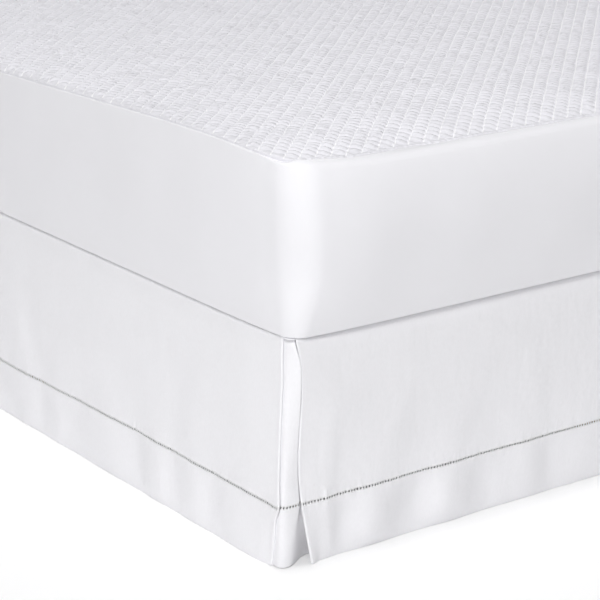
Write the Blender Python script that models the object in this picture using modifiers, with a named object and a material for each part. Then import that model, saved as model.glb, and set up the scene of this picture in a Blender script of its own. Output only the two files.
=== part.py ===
"""A tailored bed skirt with a wide hemstitched hem, on the plain bed that it fits.

The skirt is a deck sheet, three drop panels and two underlays. The deck lies on the bed base, under
the mattress. The panels hang from the deck's rim, and an underlay stands behind the pleat at each
foot corner. The head end is open.

Metres, +Z up. The origin is on the floor, under the middle of the bed. The head is towards +Y and
the foot towards -Y. Along a panel, `along` is the distance from the mattress's corner, and `out` is
the distance outwards from the mattress's face. A panel's own heights are measured from its hem's edge.
"""

import math
import random
from collections import namedtuple

import bmesh
import bpy
import numpy as np

# Driving dimensions.
MATTRESS_WIDTH = 1.524
MATTRESS_LENGTH = 2.032
MATTRESS_SIDE = 0.268  # height of its side, up to the rim
MATTRESS_CORNER_R = 0.030
MATTRESS_TOP_R = 0.014
MATTRESS_BOTTOM_R = 0.005

BASE_WIDTH = 1.500
BASE_LENGTH = 2.000
BASE_HEIGHT = 0.200
BASE_CORNER_R = 0.060
BASE_EDGE_R = 0.012

LEG_TOP_R = 0.030
LEG_FOOT_R = 0.021
LEG_FOOT_BEVEL = 0.003
LEG_SIDES = 20
LEG_X = 0.64
LEG_Y = 0.88

CLOTH = 0.0015  # thickness of a sheet
GAP = 0.0003  # between faces that touch
DROP = 0.381
HEM_ABOVE_FLOOR = 0.001
HEMSTITCH = 0.106  # above the hem's edge
HEMSTITCH_HALF_HEIGHT = 0.0025
HEMSTITCH_DEPTH = 0.0007
HEM_PROUD = 0.0004  # the hem is doubled, so its face stands a little further out

SIDE_RECESS = 0.006  # of the skirt's top edge, behind the mattress's face
FOOT_RECESS = 0.012
HEAD_RECESS = 0.006
DECK_CORNER_R = 0.012

TURN_R = 0.0021  # outer radius of the fold at a pleat's edge
TURN_STEPS = 4
RETURN_LENGTH = 0.020  # of the cloth turned back behind a pleat's edge
UNDERLAY_BEHIND = 0.0050  # from a panel's face at its fold edge to the underlay's face
UNDERLAY_TAIL_TOP = 0.017  # how far the underlay runs on behind a panel
UNDERLAY_TAIL_HEM = 0.040
UNDERLAY_STEPS = 2

CORNER_SEGMENTS = 6
RIM_SEGMENTS = 4
FOOT_SEGMENTS = 2
SHARP_ANGLE = math.radians(40)
MM = 0.001

# Heights that the rest follows from.
BASE_BOTTOM = HEM_ABOVE_FLOOR + DROP - BASE_HEIGHT
BASE_TOP = BASE_BOTTOM + BASE_HEIGHT
DECK_BOTTOM = BASE_TOP + GAP
MATTRESS_BOTTOM = DECK_BOTTOM + CLOTH + GAP
HALF_WIDTH = MATTRESS_WIDTH / 2
HALF_LENGTH = MATTRESS_LENGTH / 2

# Heights of a panel's cross sections over its hem's edge, from the top edge down.
SECTIONS = (
    DROP, 0.339, 0.284, 0.229, 0.174, 0.134,
    HEMSTITCH + HEMSTITCH_HALF_HEIGHT, HEMSTITCH, HEMSTITCH - HEMSTITCH_HALF_HEIGHT,
    0.074, 0.036, 0.0,
)

# How far out each kind of panel hangs at three heights, in millimetres.
Hang = namedtuple("Hang", "height side foot")
HANGS = (
    Hang(DROP / MM, -SIDE_RECESS / MM, -FOOT_RECESS / MM),
    Hang(HEMSTITCH / MM, 16.5, -5.2),
    Hang(0, 21.5, -4.0),
)

# The fold edge of a side panel and of the foot panel at a foot corner, in millimetres: the edge's
# place along the panel, how far it lifts off the hanging face, and where the lift starts.
Edge = namedtuple("Edge", "height along lift turn")
SIDE_EDGES = (
    Edge(381, 33, 0.0, 50),
    Edge(309, 27, 0.0, 46),
    Edge(204, 24, 0.5, 42),
    Edge(144, 18, 1.0, 38),
    Edge(106, 10, 3.5, 36),
    Edge(82, 25, -2.0, 48),
    Edge(0, 37, -4.0, 60),
)
FOOT_EDGES = (
    Edge(381, 18, 0.0, 62),
    Edge(334, 25, -0.5, 62),
    Edge(284, 25, -1.5, 62),
    Edge(194, 19, -2.0, 62),
    Edge(149, 20, -2.0, 60),
    Edge(106, 24, -0.5, 52),
    Edge(0, 42, 4.0, 58),
)

# The underlay behind a corner pleat, in millimetres from the mattress's corner: x runs along the
# foot and y along the side. It comes from behind the side panel, over its shoulder and its crest,
# and goes in behind the foot panel.
Underlay = namedtuple("Underlay", "height shoulder_x shoulder_y crest_x crest_y inner_x inner_y")
UNDERLAYS = (
    Underlay(381, 12.0, 29.0, 16.0, 22.0, 23.0, 18.5),
    Underlay(294, 6.5, 22.0, 18.5, 14.0, 29.0, 18.0),
    Underlay(204, -1.0, 17.5, 10.0, 12.5, 25.0, 15.5),
    Underlay(106, -7.0, 9.0, 4.0, 7.0, 26.0, 13.5),
    Underlay(54, -9.5, 17.5, 7.0, 13.0, 42.0, 28.0),
    Underlay(0, -10.0, 23.0, 8.5, 16.5, 56.0, 43.0),
)

# The soft folds of the cloth: the fold's place along the panel at the hemstitch, how far it has
# moved along by its upper end, its upper end's height, and how far it stands out at the hemstitch
# and at the hem. A ridge stands out and a hollow stands in. The first three are in metres and the
# last two in millimetres.
Fold = namedtuple("Fold", "at lean top body hem")
SIDE_FOLDS = (
    Fold(0.135, 0.000, 0.164, 0.4, 1.2),
    Fold(0.190, 0.000, 0.164, -0.4, -1.2),
    Fold(0.250, 0.005, 0.334, 1.5, 1.0),
    Fold(0.310, 0.000, 0.284, -1.2, -1.2),
    Fold(0.370, 0.005, 0.294, 1.5, 1.2),
    Fold(0.440, 0.055, 0.244, -1.6, -1.4),
    Fold(0.540, 0.045, 0.254, 2.0, 1.4),
    Fold(0.640, 0.000, 0.164, -0.7, -1.2),
    Fold(0.695, 0.010, 0.164, 0.5, 1.2),
    Fold(0.745, 0.105, 0.294, -1.8, -1.2),
    Fold(0.800, 0.090, 0.304, 2.0, 1.2),
)
FOOT_FOLDS = (
    Fold(0.075, -0.003, 0.324, 2.6, 0.6),
    Fold(0.118, -0.008, 0.264, -2.0, -2.0),
    Fold(0.165, 0.085, 0.294, 2.2, 1.2),
    Fold(0.288, -0.004, 0.304, -1.6, -1.0),
    Fold(0.350, 0.000, 0.294, 1.6, 1.4),
    Fold(0.430, -0.035, 0.304, -1.6, -1.4),
    Fold(0.510, 0.000, 0.314, 1.5, 1.2),
    Fold(0.565, 0.000, 0.294, -1.5, -1.2),
    Fold(0.615, 0.004, 0.274, 1.5, 1.0),
)
FOLD_SPACING = (0.060, 0.105)  # of the folds further along, which a seeded draw sets
FOLD_LEAN = 0.015
FOLD_TOP = (0.174, 0.324)
FOLD_DEPTH = (0.8, 1.6)
UNEVENNESS = 0.3  # millimetres, between two folds

# The mattress's top rises from its rim to a flat middle: each line's share of the top's size, and
# its height over the rim.
CrownLine = namedtuple("CrownLine", "share rise")
CROWN = (
    CrownLine(0.975, 0.007),
    CrownLine(0.935, 0.013),
    CrownLine(0.880, 0.017),
    CrownLine(0.800, 0.019),
)

# Away from its foot corner, a side panel's hemstitch runs a little lower.
HEMSTITCH_DIP = 0.008
DIP_START = 0.42
DIP_FULL = 0.95
DIP_REACH = 0.075  # how far above and below the hemstitch the dip is felt


def smoothstep(t):
    t = min(max(t, 0.0), 1.0)
    return t * t * (3 - 2 * t)


def at_height(rows, column, z):
    """A column of a table at height z, in metres; the table is in millimetres, from the top down."""
    rising = rows[::-1]
    heights = [row.height * MM for row in rising]
    values = [getattr(row, column) * MM for row in rising]
    return float(np.interp(z, heights, values))


def hemstitch_relief(z):
    """The groove of the hemstitch and the doubled hem under it."""
    if abs(z - HEMSTITCH) < HEMSTITCH_HALF_HEIGHT / 2:
        return -HEMSTITCH_DEPTH
    return HEM_PROUD if z < HEMSTITCH else 0.0


def fold_depth(fold, z):
    """How far a fold stands out at height z."""
    if z > HEMSTITCH:
        return fold.body * MM * (1 - smoothstep((z - HEMSTITCH) / (fold.top - HEMSTITCH)))
    return MM * (fold.body + (fold.hem - fold.body) * (1 - z / HEMSTITCH))


def fold_place(fold, z):
    """Where a fold's line is along the panel at height z."""
    return fold.at + fold.lean * min(max((z - HEMSTITCH) / (fold.top - HEMSTITCH), 0.0), 1.0)


def further_folds(folds, end, rng):
    """The folds of the table, and drawn ones after them as far as the panel's end."""
    all_folds = list(folds)
    while True:
        last = all_folds[-1]
        at = last.at + max(last.lean, 0.0) / 2 + rng.uniform(*FOLD_SPACING)
        if at > end - FOLD_SPACING[0]:
            return all_folds
        side = -math.copysign(1.0, last.body)
        depth = side * rng.uniform(*FOLD_DEPTH)
        lean = rng.uniform(-FOLD_LEAN, FOLD_LEAN)
        all_folds.append(Fold(at, lean, rng.uniform(*FOLD_TOP), depth, side * rng.uniform(*FOLD_DEPTH)))


def mirrored_folds(folds, length):
    """The same folds counted from the panel's other end."""
    return [fold._replace(at=length - fold.at, lean=-fold.lean) for fold in reversed(folds)]


def soft_columns(folds, z, rng):
    """Places along a panel and the relief there: one column for each fold and one between each two."""
    columns = []
    for first, second in zip(folds, folds[1:]):
        here, there = fold_place(first, z), fold_place(second, z)
        mean = (fold_depth(first, z) + fold_depth(second, z)) / 2
        fade = 1 - smoothstep((z - HEMSTITCH) / (DROP - HEMSTITCH))
        columns.append((here, fold_depth(first, z)))
        columns.append(((here + there) / 2, mean + rng.uniform(-1, 1) * UNEVENNESS * MM * fade))
    columns.append((fold_place(folds[-1], z), fold_depth(folds[-1], z)))
    return columns


def pleat_edge(edges, hang, z):
    """The panel's end at a pleat, from the end of the return round the turn to the open face."""
    edge = at_height(edges, "along", z)
    turn = at_height(edges, "turn", z)
    lift = at_height(edges, "lift", z)
    relief = hemstitch_relief(z)
    face = np.array((edge, hang + lift + relief))
    start = np.array((turn, hang + relief))
    towards = (face - start) / np.linalg.norm(face - start)
    outwards = np.array((towards[1], -towards[0]))
    centre = face - towards * TURN_R - outwards * TURN_R
    back = centre - outwards * TURN_R
    points = [back - towards * RETURN_LENGTH, back - towards * RETURN_LENGTH / 2]
    for step in range(TURN_STEPS + 1):
        angle = math.pi * step / TURN_STEPS
        points.append(centre + TURN_R * (towards * math.sin(angle) - outwards * math.cos(angle)))
    points.append((face + start) / 2)
    points.append(start)
    return [tuple(point) for point in points]


def dipped(z, along):
    """The height of a point of a side panel, which is lower near the hemstitch away from the foot."""
    share = smoothstep((along - DIP_START) / (DIP_FULL - DIP_START))
    reach = max(0.0, 1 - abs(z - HEMSTITCH) / DIP_REACH)
    return z - HEMSTITCH_DIP * share * reach


def side_sections(seed):
    """A side panel's sections as rows of (along, out, height), from its foot pleat to the head."""
    rng = random.Random(seed)
    end = MATTRESS_LENGTH - HEAD_RECESS
    folds = further_folds(SIDE_FOLDS, end, rng)
    sections = []
    for z in SECTIONS:
        hang = at_height(HANGS, "side", z)
        relief = hemstitch_relief(z)
        row = [(along, out, z) for along, out in pleat_edge(SIDE_EDGES, hang, z)]
        for along, depth in soft_columns(folds, z, rng) + [(end, 0.0)]:
            row.append((along, hang + relief + depth, dipped(z, along)))
        sections.append(row)
    return sections


def foot_sections(seed):
    """The foot panel's sections as rows of (along, out, height), from its -X pleat to its +X pleat."""
    rng = random.Random(seed)
    far_end = mirrored_folds(FOOT_FOLDS[:2], MATTRESS_WIDTH)
    folds = further_folds(FOOT_FOLDS, far_end[0].at, rng) + far_end
    sections = []
    for z in SECTIONS:
        hang = at_height(HANGS, "foot", z)
        relief = hemstitch_relief(z)
        pleat = pleat_edge(FOOT_EDGES, hang, z)
        row = [(along, out, z) for along, out in pleat]
        for along, depth in soft_columns(folds, z, rng):
            row.append((along, hang + relief + depth, z))
        row += [(MATTRESS_WIDTH - along, out, z) for along, out in reversed(pleat)]
        sections.append(row)
    return sections


def smooth_curve(points, steps):
    """Points along a Catmull-Rom curve through the given ones."""
    points = [np.array(point) for point in points]
    padded = [2 * points[0] - points[1]] + points + [2 * points[-1] - points[-2]]
    curve = []
    for before, start, end, after in zip(padded, padded[1:], padded[2:], padded[3:]):
        for step in range(steps):
            t = step / steps
            curve.append(0.5 * (
                2 * start + (end - before) * t
                + (2 * before - 5 * start + 4 * end - after) * t ** 2
                + (3 * start - before - 3 * end + after) * t ** 3
            ))
    return curve + [points[-1]]


def underlay_sections():
    """The underlay's sections as rows of (x, y, height) from the mattress's corner."""
    sections = []
    for z in SECTIONS:
        row = {name: at_height(UNDERLAYS, name, z) for name in Underlay._fields[1:]}
        tail = np.interp(z, (0, DROP), (UNDERLAY_TAIL_HEM, UNDERLAY_TAIL_TOP))
        side_face = at_height(HANGS, "side", z) + min(at_height(SIDE_EDGES, "lift", z), 0.0)
        behind_x = UNDERLAY_BEHIND - side_face
        behind_y = at_height(SIDE_EDGES, "along", z) + TURN_R
        points = [
            (behind_x, behind_y + tail),
            (behind_x, behind_y + tail / 3),
            (row["shoulder_x"], row["shoulder_y"]),
            (row["crest_x"], row["crest_y"]),
            (row["inner_x"], row["inner_y"]),
            (row["inner_x"] + tail, row["inner_y"] - GAP),
        ]
        relief = hemstitch_relief(z)
        curve = smooth_curve(points, UNDERLAY_STEPS)
        sections.append([(x - relief, y - relief, z) for x, y in curve])
    return sections


def material(name, colour, roughness, metallic=0.0):
    made = bpy.data.materials.new(name)
    made.use_nodes = True
    shader = made.node_tree.nodes["Principled BSDF"]
    shader.inputs["Base Color"].default_value = (*colour, 1.0)
    shader.inputs["Roughness"].default_value = roughness
    shader.inputs["Metallic"].default_value = metallic
    made.diffuse_color = (*colour, 1.0)
    return made


def finish(mesh, name, look, collection):
    """Puts a mesh into the collection as an object, shaded smooth but for its sharp edges."""
    made = bpy.data.objects.new(name, mesh)
    mesh.shade_smooth()
    mesh.set_sharp_from_angle(angle=SHARP_ANGLE)
    mesh.materials.append(look)
    collection.objects.link(made)
    return made


def sheet(name, sections, place, look, collection):
    """A cloth sheet: a loft through its sections, with its outer face given and its back inside."""
    work = bmesh.new()
    grid = [[work.verts.new(place(*point)) for point in row] for row in sections]
    for upper, lower in zip(grid, grid[1:]):
        for a, b, c, d in zip(upper, upper[1:], lower[1:], lower):
            work.faces.new((a, d, c, b))
    mesh = bpy.data.meshes.new(name)
    work.to_mesh(mesh)
    work.free()
    made = finish(mesh, name, look, collection)
    thickness = made.modifiers.new("thickness", "SOLIDIFY")
    thickness.thickness = CLOTH
    thickness.offset = -1.0
    return made


def rounded_box(name, size, bottom, corner_r, edge_rs, look, collection, crown=()):
    """A box with rounded upright corners and its own radius at each rim, its top crowned if asked."""
    work = bmesh.new()
    bmesh.ops.create_cube(work, size=1.0)
    bmesh.ops.scale(work, vec=size, verts=work.verts)
    bmesh.ops.translate(work, vec=(0, 0, bottom + size[2] / 2), verts=work.verts)
    upright = [edge for edge in work.edges if is_upright(edge)]
    bmesh.ops.bevel(
        work, geom=upright, offset=corner_r, offset_type="OFFSET", segments=CORNER_SEGMENTS,
        profile=0.5, affect="EDGES",
    )
    for height, radius in zip((bottom, bottom + size[2]), edge_rs):
        if radius:
            rim = [edge for edge in work.edges if all(on_height(v, height) for v in edge.verts)]
            bmesh.ops.bevel(
                work, geom=rim, offset=radius, offset_type="OFFSET", segments=RIM_SEGMENTS,
                profile=0.5, affect="EDGES",
            )
    top = [face for face in work.faces if all(on_height(v, bottom + size[2]) for v in face.verts)]
    share, rise = 1.0, 0.0
    for line in crown:
        bmesh.ops.inset_region(work, faces=top, thickness=CLOTH)
        flat = list({vertex for face in top for vertex in face.verts})
        shrink = line.share / share
        bmesh.ops.scale(work, vec=(shrink, shrink, 1), verts=flat)
        bmesh.ops.translate(work, vec=(0, 0, line.rise - rise), verts=flat)
        share, rise = line.share, line.rise
    mesh = bpy.data.meshes.new(name)
    work.to_mesh(mesh)
    work.free()
    return finish(mesh, name, look, collection)


def is_upright(edge):
    low, high = edge.verts
    return abs(low.co.x - high.co.x) + abs(low.co.y - high.co.y) < GAP


def on_height(vertex, height):
    return abs(vertex.co.z - height) < GAP / 2


def leg(name, x, y, look, collection):
    """A tapered round leg, standing on the floor just under the base."""
    height = BASE_BOTTOM - GAP
    work = bmesh.new()
    bmesh.ops.create_cone(
        work, cap_ends=True, segments=LEG_SIDES, radius1=LEG_FOOT_R, radius2=LEG_TOP_R, depth=height,
    )
    bmesh.ops.translate(work, vec=(0, 0, height / 2), verts=work.verts)
    rim = [edge for edge in work.edges if all(on_height(v, 0.0) for v in edge.verts)]
    bmesh.ops.bevel(
        work, geom=rim, offset=LEG_FOOT_BEVEL, offset_type="OFFSET", segments=FOOT_SEGMENTS,
        profile=0.5, affect="EDGES",
    )
    mesh = bpy.data.meshes.new(name)
    work.to_mesh(mesh)
    work.free()
    made = finish(mesh, name, look, collection)
    made.location = (x, y, 0)
    return made


def build_bed(collection):
    cover = material("mattress_cover", (0.86, 0.86, 0.87), 0.75)
    ticking = material("base_cloth", (0.62, 0.62, 0.60), 0.85)
    wood = material("leg_wood", (0.50, 0.33, 0.18), 0.50)
    rounded_box(
        "mattress", (MATTRESS_WIDTH, MATTRESS_LENGTH, MATTRESS_SIDE), MATTRESS_BOTTOM,
        MATTRESS_CORNER_R, (MATTRESS_BOTTOM_R, MATTRESS_TOP_R), cover, collection, CROWN,
    )
    rounded_box(
        "bed_base", (BASE_WIDTH, BASE_LENGTH, BASE_HEIGHT), BASE_BOTTOM,
        BASE_CORNER_R, (BASE_EDGE_R, BASE_EDGE_R), ticking, collection,
    )
    for row, y in (("foot", -LEG_Y), ("middle", 0.0), ("head", LEG_Y)):
        for column, x in (("left", -LEG_X), ("centre", 0.0), ("right", LEG_X)):
            leg(f"leg_{row}_{column}", x, y, wood, collection)


def build_skirt(collection):
    cotton = material("white_cotton", (0.90, 0.90, 0.91), 0.80)
    deck_size = (
        MATTRESS_WIDTH - 2 * SIDE_RECESS,
        MATTRESS_LENGTH - FOOT_RECESS - HEAD_RECESS,
        CLOTH,
    )
    deck = rounded_box(
        "deck", deck_size, DECK_BOTTOM, DECK_CORNER_R, (0.0, 0.0), cotton, collection,
    )
    deck.location.y = (FOOT_RECESS - HEAD_RECESS) / 2

    def left_side(along, out, z):
        return (-HALF_WIDTH - out, -HALF_LENGTH + along, HEM_ABOVE_FLOOR + z)

    def right_side(along, out, z):
        return (HALF_WIDTH + out, -HALF_LENGTH + along, HEM_ABOVE_FLOOR + z)

    def foot_end(along, out, z):
        return (-HALF_WIDTH + along, -HALF_LENGTH - out, HEM_ABOVE_FLOOR + z)

    def left_corner(x, y, z):
        return (-HALF_WIDTH + x, -HALF_LENGTH + y, HEM_ABOVE_FLOOR + z)

    def right_corner(x, y, z):
        return (HALF_WIDTH - x, -HALF_LENGTH + y, HEM_ABOVE_FLOOR + z)

    def turned(sections):
        """The same sections run the other way, so that the loft's faces look outwards."""
        return [row[::-1] for row in sections]

    sheet("drop_left", turned(side_sections(seed=3)), left_side, cotton, collection)
    sheet("drop_right", side_sections(seed=8), right_side, cotton, collection)
    sheet("drop_foot", foot_sections(seed=5), foot_end, cotton, collection)
    sheet("underlay_left", underlay_sections(), left_corner, cotton, collection)
    sheet("underlay_right", turned(underlay_sections()), right_corner, cotton, collection)


def main():
    for old in list(bpy.data.objects):
        bpy.data.objects.remove(old, do_unlink=True)
    collection = bpy.data.collections.new("bed_skirt_on_bed")
    bpy.context.scene.collection.children.link(collection)
    build_bed(collection)
    build_skirt(collection)


main()
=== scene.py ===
"""A white tailored bed skirt on its plain bed, dressed for rendering.

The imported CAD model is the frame. The skirt's sheets, the mattress and the bed base are each
replaced here by a finer piece in the same place. The legs keep their shape and get their wood.

Metres, +Z up. The origin is on the floor, under the middle of the bed, with the head towards +Y and
the foot towards -Y. Along a panel, `along` is the distance from the mattress's corner, and `out` is
the distance outwards from the mattress's face. A sheet's own heights are measured from its hem's edge.
"""

import math
import random
from collections import namedtuple

import bpy
import numpy as np
from mathutils import Matrix, Vector


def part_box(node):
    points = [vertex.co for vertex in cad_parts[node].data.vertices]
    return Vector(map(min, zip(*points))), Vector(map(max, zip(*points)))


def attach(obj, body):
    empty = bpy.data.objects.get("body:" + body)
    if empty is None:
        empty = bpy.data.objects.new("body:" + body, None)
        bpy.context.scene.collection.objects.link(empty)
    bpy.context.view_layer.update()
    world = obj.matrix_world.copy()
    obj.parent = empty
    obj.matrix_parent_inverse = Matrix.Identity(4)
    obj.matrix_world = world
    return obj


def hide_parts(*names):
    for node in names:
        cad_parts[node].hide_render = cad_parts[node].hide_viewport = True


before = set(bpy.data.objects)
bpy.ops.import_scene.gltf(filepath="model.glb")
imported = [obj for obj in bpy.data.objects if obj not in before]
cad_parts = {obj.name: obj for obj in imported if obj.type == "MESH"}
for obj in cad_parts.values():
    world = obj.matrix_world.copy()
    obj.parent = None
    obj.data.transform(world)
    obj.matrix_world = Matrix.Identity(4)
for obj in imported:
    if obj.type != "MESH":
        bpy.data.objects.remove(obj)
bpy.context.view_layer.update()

MM = 0.001

# Sizes that the CAD nodes give.
mattress_low, mattress_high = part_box("mattress")
base_low, base_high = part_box("bed_base")
deck_low, deck_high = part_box("deck")
HALF_WIDTH = mattress_high.x
HALF_LENGTH = mattress_high.y
MATTRESS_BOTTOM = mattress_low.z
HEM_ABOVE_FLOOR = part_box("drop_foot")[0].z
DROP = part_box("drop_foot")[1].z - HEM_ABOVE_FLOOR

# The skirt, as in the part's source.
HEMSTITCH = 0.106  # above the hem's edge
HEM_PROUD = 0.0004
TURN_R = 0.0021  # outer radius of the fold at a pleat's edge
RETURN_LENGTH = 0.02
SIDE_HEM_R = 0.001
SIDE_HEM = 0.012
HEAD_RECESS = 0.006
UNDERLAY_BEHIND = 0.005
UNDERLAY_CURVE_STEPS = 10
UNDERLAY_TAIL_TOP = 0.017
UNDERLAY_TAIL_HEM = 0.04

CLOTH = 0.0005
HEM_LOWERED = 0.0008  # from the part's hem to this one's, which nearly touches the floor
HEM_FOLD_R = 0.0007
HEM_FOLD_STEPS = 4
HEM_INSIDE_BELOW = 0.0035  # from the hemstitch down to the hem's edge inside
EDGE_REACH = 0.1  # how far along a panel its cloth follows its fold edge
BODY_STEP = 0.009  # between a panel's rows, and an underlay's
UNDERLAY_STEP = 0.007
FINE_FROM_EDGE = 0.01
FINE_BEYOND_FOLD = 0.004

# The hemstitch: bars of thread between small holes.
PITCH = 0.0057
HOLE_WIDTH = 0.002
UNDERLAY_HOLE = 0.0018
HOLE_HALF_HEIGHT = 0.0017
BAR_WAIST = 0.0002
HOLE_ARCH = 0.0003
WHIPPED = 0.0038  # from the hemstitch to the edge of its whipped threads
HEMSTITCH_ROWS = (0.016, 0.0125, 0.0095, 0.007, 0.005, WHIPPED, 0.0028, HOLE_HALF_HEIGHT)
FINE_STEPS = (2, 4)  # columns in a bar and in a hole
COARSE_STEPS = (1, 2)
ROUNDING = 1e-6


def table(columns, *rows):
    """A table's rows, with names for their columns."""
    kind = namedtuple("TableRow", columns)
    return tuple(kind(*row) for row in rows)


# How far out the panels hang, in millimetres.
HANGS = table(
    "height side foot",
    (381, -6, -12), (345, -0.2, -6.4), (300, 4.2, -3.8), (250, 7.8, -3.2), (200, 11, -3.2),
    (150, 14.2, -3.8), (106, 16.5, -5.2), (0, 19, -9),
)

# A panel's fold edge, in millimetres: its place, its lift, and the place where the lift ends.
EDGE_COLUMNS = "height along lift turn"
SIDE_EDGES = table(
    EDGE_COLUMNS,
    (381, 33, 0, 90), (345, 30, -2.5, 110), (309, 27, -4, 130), (204, 24, -3.5, 120),
    (144, 18, -1, 80), (106, 10, 2.5, 40), (82, 25, -2, 55), (0, 37, -4.5, 75),
)
FOOT_EDGES = table(
    EDGE_COLUMNS,
    (381, 18, 0, 62), (334, 25, -1.5, 70), (284, 25, -3, 76), (194, 19, -3.5, 76),
    (149, 20, -3.5, 72), (106, 24, -1, 60), (0, 42, 7.5, 66),
)
HEAD_EDGES = table(EDGE_COLUMNS, (381, 6, 0, 30), (0, 6, 0, 30))

# The underlay's plan at the near corner, in millimetres from the mattress's sharp corner.
UNDERLAYS = table(
    "height shoulder_x shoulder_y crest_x crest_y inner_x inner_y",
    (381, 12, 28, 17, 19, 23, 18), (350, 9, 23, 20, 6, 22.5, 17.5),
    (334, 8, 22, 23, 5.5, 24.5, 17.3), (284, 5, 20, 22.5, 6.6, 24.5, 16.5),
    (240, 1, 17, 20.5, 8.2, 23, 15.2), (204, -1, 15.5, 18.3, 9, 21, 14.6),
    (149, -4, 12.5, 18.6, 9.4, 21.6, 14.8), (106, -7, 9.5, 20.5, 7.6, 26, 14),
    (54, -9.5, 17.5, 10, 11, 36, 21), (0, -10, 23, 8.5, 16.5, 50, 38),
)

# The folds: their place at the hemstitch, their lean up to their top and that top's height, in metres,
# and how far they stand out in the body and in the hem, in millimetres.
FOLD_COLUMNS = "at lean top body hem"
SIDE_FOLDS = table(
    FOLD_COLUMNS,
    (0.135, 0, 0.164, 0.6, 2.2), (0.2, 0, 0.184, -0.6, -2.4), (0.255, 0.005, 0.334, 1.9, 2.2),
    (0.318, 0, 0.284, -1.5, -2.4), (0.374, 0.005, 0.294, 1.9, 2.4), (0.436, 0.055, 0.244, -2, -2.6),
    (0.53, 0.045, 0.254, 2.4, 2.8), (0.64, 0, 0.184, -1, -1.8), (0.705, 0.01, 0.184, 0.9, 1.4),
    (0.765, 0.095, 0.294, -2.2, -1.6), (0.82, 0.08, 0.304, 2.4, 1.2),
)
FOOT_FOLDS = table(
    FOLD_COLUMNS,
    (0.07, -0.003, 0.324, 3, 1.2), (0.106, -0.008, 0.264, -2.4, -3.4),
    (0.164, 0.085, 0.294, 3, 5.6), (0.262, 0.016, 0.304, -2.6, -7), (0.324, 0.012, 0.294, 2.4, 4.6),
    (0.415, -0.022, 0.304, -2.6, -6.6), (0.506, 0.006, 0.314, 1.4, -1.6),
    (0.56, 0, 0.294, -1.8, -7), (0.64, 0.004, 0.274, 1.2, -3),
)
FOLD_SPACING = (0.06, 0.105)
FOLD_LEAN = 0.015
FOLD_TOP = (0.174, 0.324)
FOLD_DEPTH = (1.3, 2.5)
HEM_EDGE_FOLD = 0.25  # share of a hem's fold that reaches its edge, which hangs nearly straight
HEM_MIDDLE_FOLD = 1.15
HEMSTITCH_FOLD = 0.45  # share of a body's fold at the hemstitch, whose thickness holds it straighter
HEMSTITCH_HOLD = 0.035

# The side panels' hemstitch dips a little further along.
HEMSTITCH_DIP = 0.008
DIP_START = 0.42
DIP_FULL = 0.95
DIP_REACH = 0.075

# Drawn ranges of the puckers across the hemstitch, and of the cloth's low waves.
FIRST_PUCKER = (0.008, 0.02)
HEM_PUCKER_PITCH = (0.007, 0.019)
HEM_PUCKER_DEPTH = (0.45, 1.15)
HEM_PUCKER_WIDTH = (2.2, 4.0)
HEM_PUCKER_UP = (6, 16)
HEM_PUCKER_DOWN = (5, 13)
HEM_PUCKER_SLANT = (-0.5, 0.5)
WAVES = 10
WAVE_LENGTH = (0.035, 0.15)
WAVE_SLOPE = (-0.6, 0.6)
PANEL_WAVE = 0.0009  # depth for each metre of a wave's length, in a panel and in an underlay
UNDERLAY_WAVE = 0.0012
WAVES_FREE = 0.12  # below the top, where the waves have their whole depth

TABLE_BLUR = np.linspace(-0.008, 0.008, 9)  # rounds the kinks between a table's rows


def ramp(value, start, end):
    """A smooth step from 0 to 1 as the value goes from start to end."""
    t = np.clip((value - start) / (end - start), 0.0, 1.0)
    return t * t * (3 - 2 * t)


def at_height(rows, column, z):
    """A column of a table at height z, in metres; the table is in millimetres, from the top down."""
    rising = rows[::-1]
    heights = [row.height * MM for row in rising]
    values = [getattr(row, column) * MM for row in rising]
    return float(np.interp(z + TABLE_BLUR, heights, values).mean())


# --- meshes and materials

def new_object(name, data):
    made = bpy.data.objects.new(name, data)
    bpy.context.scene.collection.objects.link(made)
    return made


def make_object(name, points, faces, looks, face_looks=None, flip=False):
    """An object of the given points and faces, without the points that no face uses."""
    used = np.zeros(len(points), bool)
    for face in faces:
        used[list(face)] = True
    index = np.cumsum(used) - 1
    step = -1 if flip else 1
    mesh = bpy.data.meshes.new(name)
    kept = [[int(index[i]) for i in face[::step]] for face in faces]
    mesh.from_pydata(np.asarray(points)[used].tolist(), [], kept)
    for look in looks:
        mesh.materials.append(look)
    if face_looks is not None:
        mesh.polygons.foreach_set("material_index", face_looks)
    mesh.shade_smooth()
    mesh.update()
    return new_object(name, mesh)


def thicken(piece, thickness):
    """Gives a sheet its thickness, inwards from its face."""
    modifier = piece.modifiers.new("thickness", "SOLIDIFY")
    modifier.thickness = thickness
    modifier.offset = -1.0


def on_bed(piece, slot, *nodes):
    """Puts a piece on the body, in place of CAD nodes if any are named."""
    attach(piece, "root")
    if nodes:
        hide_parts(*nodes)


EVEN = (1, 1, 1)
SHADE_RANGE = (0.3, 0.7)  # of a noise, between its darkest and its plain places


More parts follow.
